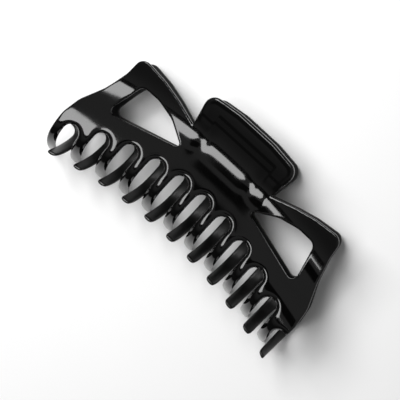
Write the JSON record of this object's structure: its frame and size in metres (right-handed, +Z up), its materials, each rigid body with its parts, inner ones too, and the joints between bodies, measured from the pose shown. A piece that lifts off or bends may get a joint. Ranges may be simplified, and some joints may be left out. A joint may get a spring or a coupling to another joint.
{
  "type": "jaw hair clip",
  "caption": "Large arched jaw hair clip: two toothed jaws with see-through wings and finger levers, hinged on a hidden pin and held shut by a torsion spring.",
  "frame": {"origin": "centre of the clip's footprint, on the surface that the rear jaw lies on", "axes": "+X along the clip, +Y from the teeth towards the finger levers, +Z up through the front jaw; the hinge axis is parallel to X"},
  "size_m": [0.128, 0.0668, 0.025],
  "materials": {
    "black_plastic": "polished injection-moulded black plastic",
    "pin_steel": "drawn steel rod with upset heads",
    "spring_steel": "drawn spring wire"
  },
  "bodies": {
    "rear_jaw": {"rear_jaw": "black_plastic", "hinge_pin": "pin_steel", "torsion_spring": "spring_steel"},
    "front_jaw": {"front_jaw": "black_plastic"}
  },
  "joints": [
    {"name": "jaw_opening", "type": "hinge", "parent": "rear_jaw", "child": "front_jaw", "pos_m": [0, 0.01393, 0.0125], "axis": [-1, 0, 0], "range_deg": [0, 48], "stiffness_Nm_per_rad": 0.25, "springref_deg": -45.84, "deforming": ["torsion_spring"]}
  ]
}
